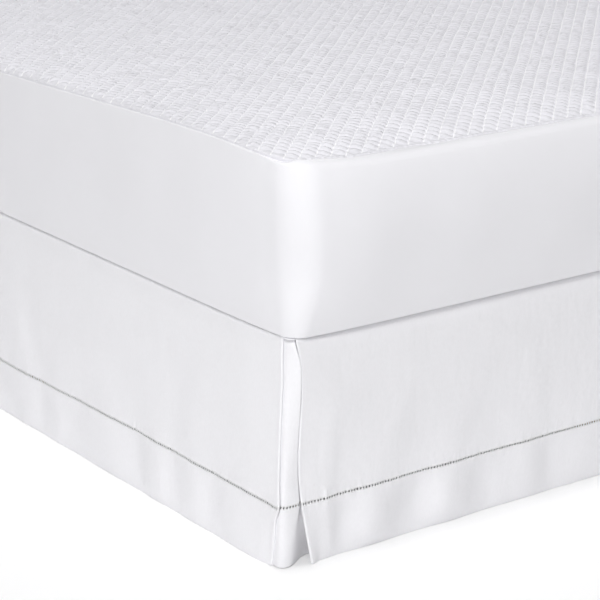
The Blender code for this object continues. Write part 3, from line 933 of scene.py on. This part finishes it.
# The gathers of the cloth along the seam, in metres and, for their width and height, millimetres.
GATHER_PITCH = (0.006, 0.013)
GATHER_WIDTH = (1.8, 3.8)
GATHER_HEIGHT = (0.5, 1.5)
GATHER_REACH = 0.011  # how far a gather runs on into the ribbed top
GATHERS_END = 4 * GATHER_REACH  # beyond it they are too low to count
GATHER_LEAN = 0.6
GATHER_SEED = 55
LEAN_SEED = 56
SIDE_GATHERS = 0.7  # how much larger they are where there is no rolled rim
CORNER_BUNCH = 2.6  # how much larger they are near a corner
CORNER_BUNCH_REACH = 0.065


def corner_bunch(x, y):
    from_corner = np.hypot(HALF_WIDTH - abs(x), HALF_LENGTH - abs(y))
    return 1 + CORNER_BUNCH * np.exp(-(from_corner / CORNER_BUNCH_REACH) ** 2)


class Gathers:
    """Small gathers of the cloth along the seam, drawn once for the whole run."""

    def __init__(self, length, seed):
        rng = random.Random(seed)
        drawn = []
        at = 0.0
        while at < length:
            height = rng.choice((1, 1, -1)) * rng.uniform(*GATHER_HEIGHT) * MM
            drawn.append((at, rng.uniform(*GATHER_WIDTH) * MM, height))
            at += rng.uniform(*GATHER_PITCH)
        self.at, self.width, self.height = np.array(drawn).T
        self.length = length

    def relief(self, run):
        offset = (run[:, None] - self.at + self.length / 2) % self.length - self.length / 2
        return (self.height * np.exp(-(offset / self.width) ** 2)).sum(axis=1)


# The ribbed top. Its ribs run diagonally: v is the distance along them and u across them.
EDGE_DIP = 0.007  # over this distance the ribbed top's edge goes down, at the ends under the strip
SIDE_EDGE_DIP = 0.001
EDGE_TURN = 0.002  # from the ribbed top's edge down to where its side hangs straight
RIB_PITCH = 0.02171
RIB_PHASE = 0.22345
RIB_STEP = 0.0037  # between points along a rib
RIB_END = 0.002  # the least distance of a step from a rib's end
RIB_FADE = (0.004, 0.016)
RIB_WOBBLE = 0.0006
# A rib's columns from its groove on: their place and height in millimetres, and their share of the
# crosswise puckers. The thread runs from the groove over the ridge beside it.
RIB = table(
    "across height pucker",
    (0, -1.5, 0), (0.9, 1.1, 0.15), (2.4, 0.45, 0.8), (11, 0.8, 1), (19.8, 0.1, 0.7),
)
# Faces that start at a rib's first two columns, from its groove over its ridge, take the lighter thread
# look: a painted highlight along the ridge.
THREAD_COLUMNS = 2
RIB_SEED = 34
RIB_REACH = 1.4  # how far a rib's knots go along it, either way
KNOT_STEP = 0.022
SLOW_KNOTS = 4  # knots to a step of the slow wobble
RIB_DRIFT = (0.6, 0.8)  # shares of a rib's quick and slow wobble
PUCKER_PITCH = (0.0125, 0.0205)
PUCKER_HEIGHT = 0.0038
PUCKER_FLOOR = -0.8  # of the height, where the hollows between the puckers bottom out
PUCKER_SLANT = (-0.17, 0.12)  # mean and spread, in turns from one rib to the next
PUCKER_SIZES = (0.5, 0.9, 1.0, 1.0, 1.1, 1.3)
SWELL = 0.22
ROOT_HALF = math.sqrt(0.5)


def closest(points, outline):
    """Each point's distance to a closed outline, and how far along the outline its foot lies."""
    sides = np.roll(outline, -1, axis=0) - outline
    lengths = np.linalg.norm(sides, axis=1)
    starts = np.concatenate(([0.0], np.cumsum(lengths)[:-1]))
    offset = points[:, None, :] - outline[None, :, :]
    share = np.clip((offset * sides).sum(axis=2) / lengths ** 2, 0.0, 1.0)
    distances = np.linalg.norm(offset - share[:, :, None] * sides, axis=2)
    nearest = distances.argmin(axis=1)
    row = np.arange(len(points))
    return distances[row, nearest], starts[nearest] + share[row, nearest] * lengths[nearest]


def chord(us, vs, u):
    """Where the line of constant u crosses a closed outline: its lowest and highest v."""
    next_us, next_vs = np.roll(us, -1), np.roll(vs, -1)
    crossing = (us - u) * (next_us - u) < 0
    if not crossing.any():
        return 0.0, 0.0
    share = (u - us[crossing]) / (next_us[crossing] - us[crossing])
    hits = vs[crossing] + (next_vs[crossing] - vs[crossing]) * share
    return hits.min(), hits.max()


class Band:
    """One rib's drawn unevenness: its wobble, its swell and its crosswise puckers."""

    knots = np.arange(-RIB_REACH, RIB_REACH + KNOT_STEP / 2, KNOT_STEP)

    def __init__(self, rng):
        drift = np.array([rng.gauss(0, 1) for _ in self.knots])
        slow_knots = self.knots[::SLOW_KNOTS]
        slow = np.interp(self.knots, slow_knots, [rng.gauss(0, 1) for _ in slow_knots])
        quick_share, slow_share = RIB_DRIFT
        self.wobble = RIB_WOBBLE * (quick_share * drift + slow_share * slow)
        self.swell = 1 + SWELL * np.array([rng.gauss(0, 1) for _ in self.knots])
        places = [self.knots[0]]
        while places[-1] < self.knots[-1]:
            places.append(places[-1] + rng.uniform(*PUCKER_PITCH))
        self.places = np.array(places)
        self.size = np.array([rng.choice(PUCKER_SIZES) for _ in places])
        self.slant = np.array([rng.gauss(*PUCKER_SLANT) for _ in places])

    def aside(self, v):
        return np.interp(v, self.knots, self.wobble)

    def height(self, rib, v):
        turns = np.interp(v, self.places, np.arange(len(self.places)))
        turns = turns + np.interp(v, self.places, self.slant) * rib.across * MM / RIB_PITCH
        puckers = np.interp(v, self.places, self.size) * np.sin(math.tau * turns)
        ridge = rib.height * MM * np.interp(v, self.knots, self.swell)
        return ridge + PUCKER_HEIGHT * rib.pucker * np.maximum(puckers, PUCKER_FLOOR)


LidColumn = namedtuple("LidColumn", "points steps kind")


def lid_columns(edging, gathers):
    """The ribbed top's columns of points, along its ribs, from seam to seam."""
    rng = random.Random(RIB_SEED)
    outline = edging.outline
    around = run_along(outline)
    us, vs = (outline[:, 0] - outline[:, 1]) * ROOT_HALF, (outline[:, 0] + outline[:, 1]) * ROOT_HALF
    first = math.floor((us.min() - RIB_PHASE) / RIB_PITCH)
    last = math.ceil((us.max() - RIB_PHASE) / RIB_PITCH)
    bands = [Band(rng) for _ in range(first, last + 2)]
    columns = []
    for number, (band, next_band) in enumerate(zip(bands, bands[1:]), first):
        for kind, rib in enumerate(RIB):
            u = RIB_PHASE + number * RIB_PITCH + rib.across * MM
            share = rib.across * MM / RIB_PITCH
            low, high = chord(us, vs, u)
            if high - low < 2 * RIB_END:
                continue
            lowest, highest = (low + RIB_END) / RIB_STEP, (high - RIB_END) / RIB_STEP
            steps = range(math.ceil(lowest), math.floor(highest) + 1)
            v = np.concatenate(([low], np.array(steps) * RIB_STEP, [high]))
            flat = np.column_stack(((u + v) * ROOT_HALF, (v - u) * ROOT_HALF))
            inside, run = closest(flat, outline)
            grown = ramp(inside, *RIB_FADE)
            aside = (band.aside(v) * (1 - share) + next_band.aside(v) * share) * grown
            x, y = (u + aside + v) * ROOT_HALF, (v - u - aside) * ROOT_HALF
            puff = LID_PUFF * ramp(inside, 0.0, LID_PUFF_REACH)
            z = crown_height(x, y) + puff + band.height(rib, v) * grown
            near = inside < GATHERS_END
            rolled = np.interp(run, around, edging.rolled)
            larger = corner_bunch(x[near], y[near]) * (1 + SIDE_GATHERS * (1 - rolled[near]))
            z[near] += gathers.relief(run[near]) * larger * np.exp(-inside[near] / GATHER_REACH)
            dip = COVER_UNDER_STRIP * rolled + SIDE_EDGE_DIP * (1 - rolled)
            z = z - dip * (1 - ramp(inside, 0.0, EDGE_DIP))
            places = {step: i for i, step in enumerate(steps, 1)}
            columns.append(LidColumn(np.column_stack((x, y, z)), places, kind))
    return columns


def lid_piece(name, columns, looks):
    """A closed slab whose top runs through the columns."""
    starts = np.concatenate(([0], np.cumsum([len(column.points) for column in columns])))
    lines = [range(start, end) for start, end in zip(starts, starts[1:])]
    faces, face_looks = [], []
    for left, right, a, b in zip(columns, columns[1:], lines, lines[1:]):
        shared = sorted(set(left.steps) & set(right.steps))
        if shared:
            (a_first, a_last), (b_first, b_last) = (
                (column.steps[shared[0]], column.steps[shared[-1]]) for column in (left, right)
            )
            strip = [tuple(a[:a_first + 1])[::-1] + tuple(b[:b_first + 1])]
            for i, j in zip(a[a_first:a_last], b[b_first:b_last]):
                strip.append((i, j, j + 1, i + 1))
            strip.append(tuple(a[a_last:])[::-1] + tuple(b[b_last:]))
        else:
            strip = [tuple(a)[::-1] + tuple(b)]
        faces += strip
        face_looks += [int(left.kind < THREAD_COLUMNS)] * len(strip)
    points = np.concatenate([column.points for column in columns])
    rim = [line[0] for line in lines] + list(lines[-1])[1:]
    rim += [line[-1] for line in lines[1:-1]][::-1] + list(lines[0])[:0:-1]
    count = len(rim)
    turn, low = points[rim], points[rim]
    turn[:, 2] -= EDGE_TURN
    low[:, 2] = LID_BOTTOM
    upper = rim
    for start in (len(points), len(points) + count):
        lower = range(start, start + count)
        faces += zip(upper, lower, np.roll(lower, -1), np.roll(upper, -1))
        upper = lower
    faces.append(tuple(upper)[::-1])
    face_looks += [0] * (2 * count + 1)
    made = make_object(name, np.concatenate((points, turn, low)), faces, looks, face_looks)
    on_bed(made, "mattress_cover")


def build_lid(edging, gathers, looks):
    """The ribbed top, in two pieces that meet in a groove across the middle."""
    columns = lid_columns(edging, gathers)
    grooves = [i for i, column in enumerate(columns) if column.kind == 0]
    middle = grooves[len(grooves) // 2]
    lid_piece("mattress_ribbed_top_left", columns[:middle + 1], looks)
    lid_piece("mattress_ribbed_top_right", columns[middle:], looks)


STRIP_STEP = 0.0022
STRIP_LEAST = 0.35  # the least share of the gathers on the narrowest strip
STRIP_PROUD = 0.0006  # over the crown, and how far under it the strip's inner edge goes
STRIP_TUCKED = -0.0004
# The strip's rows: their place from the seam and their rise over it, or over the crown where it is
# None, at the rolled ends; their rise at the sides, where they lie under the ribbed top; and their
# share of the gathers.
STRIP_ROWS = table(
    "outwards rise side_rise pucker",
    (0.012, 0.0021, -0.0056, 0), (0.0092, 0.0025, -0.0055, 0.35), (0.0062, 0.0022, -0.0054, 0.8),
    (0.0034, 0.0012, -0.0053, 1), (0.0013, -0.0008, -0.0053, 0.8), (0, -0.0022, -0.0054, 0.3),
    (-0.0013, -0.0006, -0.0056, 0.8), (-0.0036, None, -0.0074, 1), (-0.0068, None, -0.0074, 0.6),
    (-0.0095, None, -0.0072, 0),
)
RIBBED_ROWS = 5  # from this row on the strip is of the ribbed cloth


def build_seam(edging, gathers, looks):
    """The seam that joins the ribbed top to the rolled rim, with its small gathers."""
    run = run_along(np.vstack((edging.outline, edging.outline[:1])))
    count = round(run[-1] / STRIP_STEP)
    places = np.arange(count) * run[-1] / count
    x, y, nx, ny, scale, rolled, seam_z = (
        np.interp(places, run, np.concatenate((values, values[:1])))
        for values in (*edging.outline.T, *edging.normals.T, edging.scale, edging.rolled, edging.z)
    )
    size = np.hypot(nx, ny)
    nx, ny = nx / size, ny / size
    relief = gathers.relief(places)
    lean = Gathers(run[-1], LEAN_SEED).relief(places) * GATHER_LEAN
    bunched = corner_bunch(x, y)
    points, lines = [], []
    for row in STRIP_ROWS:
        outer = scale if row.outwards > 0 else 1.0
        px, py = x + nx * row.outwards * outer, y + ny * row.outwards * outer
        lines.append(np.column_stack((px, py)))
        if row.rise is None:
            z = crown_height(px, py) + (STRIP_PROUD if row.pucker else STRIP_TUCKED)
        else:
            z = seam_z + row.rise * outer * rolled
        gathered = row.pucker * np.maximum(outer, STRIP_LEAST) * bunched
        z = z + row.side_rise * (1 - rolled) + relief * gathered
        slide = lean * gathered
        points.append(np.column_stack((px - ny * slide, py + nx * slide, z)))
    points += [level(line, STRIP_BOTTOM) for line in (lines[-1], lines[0])]
    last = (len(points) - 1) * count
    faces = between_rings(len(points), count) + ring_faces(last + np.arange(count), np.arange(count))
    face_looks = [int(RIBBED_ROWS <= i // count < len(STRIP_ROWS)) for i in range(len(faces))]
    made = make_object("mattress_rib_seam", np.concatenate(points), faces, looks, face_looks)
    on_bed(made, "mattress_cover")


# --- the bed base and the deck

BASE_CORNER_R = 0.06
BASE_LEAST_R = 0.004
BASE_EDGE_R = 0.01
BASE_INSIDE = (0.2, 0.03)  # insets of the top's and the underside's inner rows
DUST_COVER_INSET = 0.06
DUST_COVER_RISE = 0.0016
BASE_WALL_INSET = 0.0022
BASE_WAVES = (13, 6, (0.1, 0.35), 20, 0.00025)  # seed, count, lengths, most upwards, depth
WAVES_FROM_EDGE = 0.012
PIPING_R = 0.0028
PIPING_STEPS = 6
PIPING_INSET = 0.0026
PIPING_MARGIN = 0.0012
PIPING_FROM_EDGE = 0.004
WALL_FROM_EDGE = 0.014
BASE_WALL_ROWS = 12


def piping(z):
    """A piped seam in the base's wall, as (inset, height) rows going up."""
    angles = np.linspace(0, math.pi, PIPING_STEPS + 1)
    rows = [(PIPING_INSET - PIPING_R * math.sin(a), z - PIPING_R * math.cos(a)) for a in angles]
    margins = [(BASE_WALL_INSET, z + side * (PIPING_R + PIPING_MARGIN)) for side in (-1, 1)]
    return margins[:1] + rows + margins[1:]


def build_base(look, dust_cover):
    """The box-spring base: a taut cover with piping round its top and bottom and a dust cover."""
    bottom, top = base_low.z, base_high.z
    wall_low, wall_high = bottom + BASE_EDGE_R, top - BASE_EDGE_R
    edge = rounded_edge(BASE_EDGE_R)
    profile = [(DUST_COVER_INSET, bottom + DUST_COVER_RISE), (BASE_INSIDE[1], bottom)]
    profile += [(inset, bottom + rise) for inset, rise in edge]
    profile += piping(wall_low + PIPING_FROM_EDGE)
    for z in np.linspace(wall_low + WALL_FROM_EDGE, wall_high - WALL_FROM_EDGE, BASE_WALL_ROWS):
        profile.append((BASE_WALL_INSET, z))
    profile += piping(wall_high - PIPING_FROM_EDGE)
    profile += [(inset, top - rise) for inset, rise in edge[::-1]]
    profile += [(BASE_INSIDE[1], top), (BASE_INSIDE[0], top)]
    waves = drawn_wall_waves(*BASE_WAVES)
    rings = []
    for inset, z in profile:
        radius = max(BASE_LEAST_R, BASE_CORNER_R - inset)
        flat, normals = ring(base_high.x - inset, base_high.y - inset, radius)
        if wall_low + WAVES_FROM_EDGE < z < wall_high - WAVES_FROM_EDGE:
            flat = flat + normals * wall_relief(flat, z, waves)[:, None]
        rings.append(level(flat, z))
    points, faces = stacked(rings)
    count = len(rings[0])
    # The dust cover is the two lowest bands of faces and the face inside them.
    face_looks = [int(i < 2 * count or i == len(faces) - 2) for i in range(len(faces))]
    made = make_object("bed_base_cover", points, faces, [look, dust_cover], face_looks)
    on_bed(made, "base_cloth", "bed_base")


DECK_THICKNESS = 0.0008
DECK_CORNER_R = 0.012
DECK_HEM = 0.015
# The deck's rows: their inset from its edge and their fall below its top.
DECK_ROWS = ((0.0, 0.0002), (0.002, 0.0), (DECK_HEM, 0.0), (DECK_HEM + 0.001, 0.0003), (0.4, 0.0003))


def build_deck(look):
    """The flat sheet between the base and the mattress, with a sewn margin all round."""
    half, middle = (deck_high - deck_low) / 2, (deck_high + deck_low) / 2
    top = middle.z + DECK_THICKNESS / 2
    rings = []
    for inset, fall in DECK_ROWS:
        flat, _ = ring(half.x - inset, half.y - inset, DECK_CORNER_R)
        rings.append(level(flat + (middle.x, middle.y), top - fall))
    made = make_object("deck_sheet", *stacked(rings, closed_below=False), [look])
    thicken(made, DECK_THICKNESS)
    on_bed(made, "skirt_cotton", "deck")


# --- floor, light and camera

CAMERA_AT = (-2.67011, -3.66953, 1.50474)
CAMERA_AZIMUTH = math.radians(-35.951)
CAMERA_ELEVATION = math.radians(17.825)
CAMERA_LENS = 134.64
SENSOR_WIDTH = 36.0
CAMERA_REACH = 200.0
FLOOR_HALF = 40.0
WORLD_STRENGTH = 0.15

# The studio's soft lights, aimed at the bed's near corner: angles in degrees, then metres. An area
# light's size is in metres and its power in watts. A sun's size is its angle in degrees.
LIGHTS_AIM = Vector((-0.45, -0.75, 0.35))
LIGHTS = table(
    "name kind azimuth elevation distance size power",
    ("near_key", "AREA", -45, 25, 2.6, 1, 5.6), ("near_left", "AREA", -70, 25, 2.6, 1, 3.2),
    ("near_high", "AREA", -40, 45, 2.6, 1, 5.5), ("overhead", "SUN", 0, 90, 6, 12, 1.04),
    ("key", "SUN", -45, 45, 6, 14, 1.2), ("low_key", "SUN", -45, 25, 6, 14, 0.36),
)


def build_floor():
    look = Look("studio_floor", (0.93, 0.93, 0.93), 0.9, Specular_IOR_Level=0.1)
    corners = [(sx * FLOOR_HALF, sy * FLOOR_HALF, 0) for sx, sy in ((-1, -1), (1, -1), (1, 1), (-1, 1))]
    floor = make_object("floor", corners, [(0, 1, 2, 3)], [look.material])


def towards(azimuth, elevation):
    """The direction from the bed to a light or camera; azimuth 0 is in front of the foot."""
    level_part = math.cos(elevation)
    return Vector((math.sin(azimuth) * level_part, -math.cos(azimuth) * level_part, math.sin(elevation)))


def build_light():
    world = bpy.data.worlds.new("studio")
    world.use_nodes = True
    background = world.node_tree.nodes["Background"]
    background.inputs["Color"].default_value = (1.0, 1.0, 1.0, 1.0)
    background.inputs["Strength"].default_value = WORLD_STRENGTH
    bpy.context.scene.world = world
    for row in LIGHTS:
        light = new_object(row.name, bpy.data.lights.new(row.name, row.kind))
        away = towards(math.radians(row.azimuth), math.radians(row.elevation))
        light.location = LIGHTS_AIM + away * row.distance
        light.rotation_euler = (-away).to_track_quat("-Z", "Y").to_euler()
        light.data.energy = row.power
        if row.kind == "AREA":
            light.data.shape = "DISK"
            light.data.size = row.size
        else:
            light.data.angle = math.radians(row.size)
    bpy.context.scene.view_settings.view_transform = "Standard"


def build_camera():
    camera = new_object("camera", bpy.data.cameras.new("camera"))
    back = towards(CAMERA_AZIMUTH, CAMERA_ELEVATION)
    right = Vector((math.cos(CAMERA_AZIMUTH), math.sin(CAMERA_AZIMUTH), 0))
    turn = Matrix((right, back.cross(right), back)).transposed().to_4x4()
    camera.matrix_world = Matrix.Translation(CAMERA_AT) @ turn
    camera.data.lens = CAMERA_LENS
    camera.data.sensor_width = SENSOR_WIDTH
    camera.data.clip_end = CAMERA_REACH
    bpy.context.scene.camera = camera


def main():
    cotton = cotton_look()
    sheet_looks = [cotton, shaded_thread_look()]
    knit = knit_look("mattress_knit", (0.84, 0.835, 0.864)).material
    ribbed = shaded_ribbed_look()
    edging = build_mattress(knit)
    gathers = Gathers(run_along(np.vstack((edging.outline, edging.outline[:1])))[-1], GATHER_SEED)
    build_lid(edging, gathers, [ribbed, highlit_rib_thread_look()])
    build_seam(edging, gathers, [knit, ribbed])
    build_base(base_look(), Look("dust_cover", (0.16, 0.16, 0.17), 0.9).material)
    build_deck(cotton)
    build_panels(sheet_looks)
    for side, mirror, seed in (("left", 1, 41), ("right", -1, 42)):
        build_underlay("pleat_underlay_" + side, "underlay_" + side, mirror, seed, sheet_looks)
    wood = wood_look()
    for name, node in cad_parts.items():
        if name.startswith("leg_"):
            node.data.materials.clear()
            node.data.materials.append(wood)
    build_floor()
    build_light()
    build_camera()


main()
